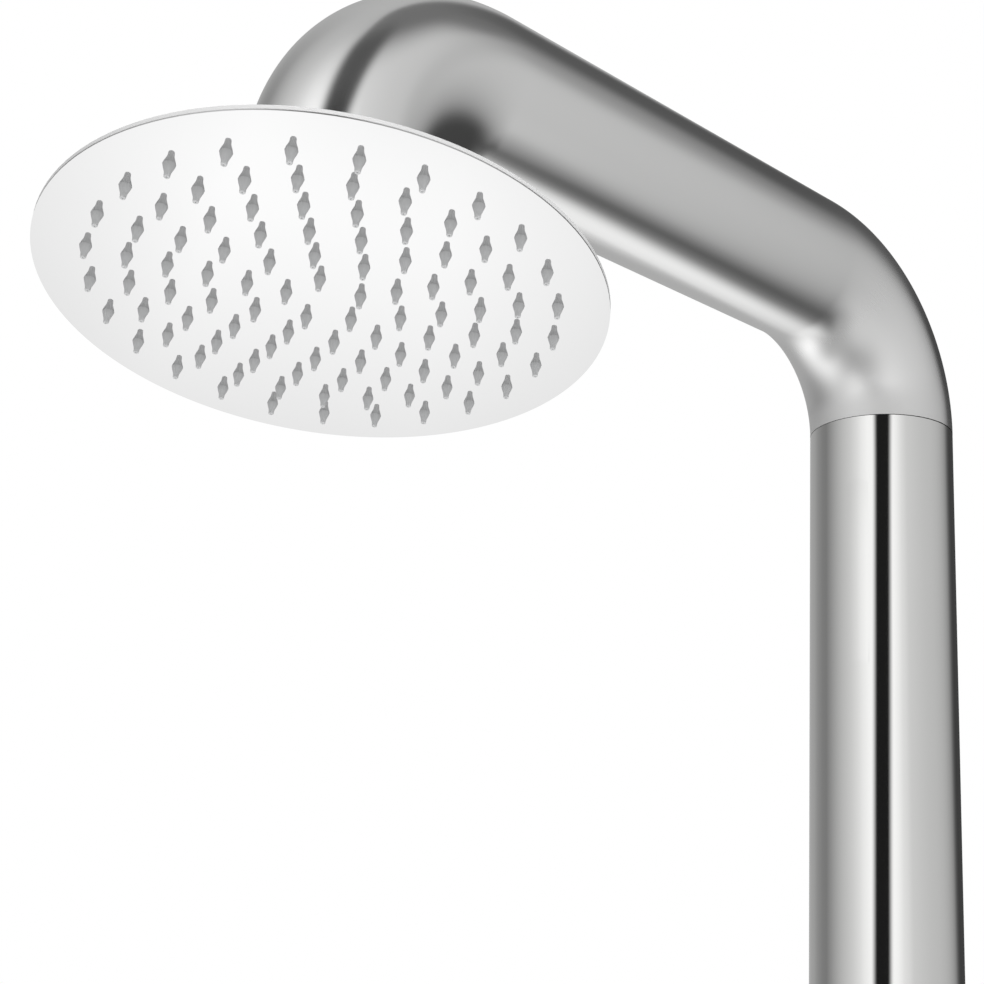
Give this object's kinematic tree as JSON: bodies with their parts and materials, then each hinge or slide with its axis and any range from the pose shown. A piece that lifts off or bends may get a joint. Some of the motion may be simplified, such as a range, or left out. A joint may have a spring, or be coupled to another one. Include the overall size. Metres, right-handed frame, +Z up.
{
  "type": "outdoor shower post",
  "caption": "Freestanding outdoor shower: round post with a bent arm, wide flat rain head on a ball joint, rotary mixing valve with a lever, and a round floor flange under a cover.",
  "frame": {"origin": "centre of the floor flange's underside, on the post's axis and on the floor", "axes": "+Z up the post, the arm reaches towards -X, +Y to the left of a person who faces the valve"},
  "size_m": [0.5425, 0.2084, 2.15],
  "materials": {
    "satin_steel": "satin",
    "polished_steel": "polished",
    "bright_steel": "polished",
    "bright_trim": "polished",
    "plain_steel": "satin",
    "brass": "satin",
    "copper_pipe": "satin",
    "hose_braid": "satin",
    "nozzle_silicone": "matte",
    "black_rubber": "matte",
    "white_acetal": "satin",
    "grey_plastic": "matte",
    "ceramic": "polished"
  },
  "bodies": {
    "post": {"arm_tube": "satin_steel", "post_tube": "polished_steel", "base_cover": "polished_steel", "ball_stem": "bright_steel", "valve_housing": "bright_trim", "base_flange": "plain_steel", "joint_sleeve": "plain_steel", "sleeve_grub_screws": "plain_steel", "arm_end_bush": "plain_steel", "housing_screws": "plain_steel", "inlet_filter": "plain_steel", "riser_union_nuts": "brass", "supply_union_nuts": "brass", "inlet_connector_hot": "brass", "inlet_connector_cold": "brass", "connector_back_nuts": "brass", "valve_block": "brass", "retaining_nut": "brass", "supply_pipe_hot": "copper_pipe", "supply_pipe_cold": "copper_pipe", "riser_hose": "hose_braid", "cover_grommet": "black_rubber", "sleeve_rings": "black_rubber", "stem_seal": "black_rubber", "block_ring": "black_rubber", "housing_gasket": "black_rubber", "port_rings": "black_rubber", "union_washers": "black_rubber", "cartridge_can": "white_acetal", "cartridge_base": "white_acetal", "connector_plate": "grey_plastic", "supply_spacers": "grey_plastic", "riser_spacers": "grey_plastic", "fixed_disc": "ceramic"},
    "valve_knob": {"spindle": "brass", "spindle_ring": "black_rubber", "moving_disc": "ceramic", "knob": "bright_trim", "lever_bar": "bright_trim", "knob_screw": "plain_steel"},
    "upper_seat_body": {"upper_seat": "white_acetal"},
    "lower_seat_body": {"lower_seat": "white_acetal"},
    "head": {"inlet_socket": "bright_steel", "swivel_nut": "bright_steel", "back_plate": "bright_steel", "face_plate": "bright_steel", "nozzle_mat": "nozzle_silicone"}
  },
  "joints": [
    {"name": "knob_turn", "type": "hinge", "parent": "post", "child": "valve_knob", "pos_m": [0, 0, 1.05], "axis": [-1, 0, 0], "range_deg": [0, 110]},
    {"name": "head_turn", "type": "hinge", "parent": "post", "child": "upper_seat_body", "pos_m": [-0.335, 0, 2.027], "axis": [0, 0, 1], "continuous": true},
    {"name": "head_tilt", "type": "hinge", "parent": "upper_seat_body", "child": "lower_seat_body", "pos_m": [-0.335, 0, 2.027], "axis": [-0.6494, 0.7604, 0], "range_deg": [-24.6, 5.4]},
    {"name": "head_spin", "type": "hinge", "parent": "lower_seat_body", "child": "head", "pos_m": [-0.335, 0, 2.027], "axis": [0.1268, 0.1083, 0.986], "continuous": true}
  ]
}
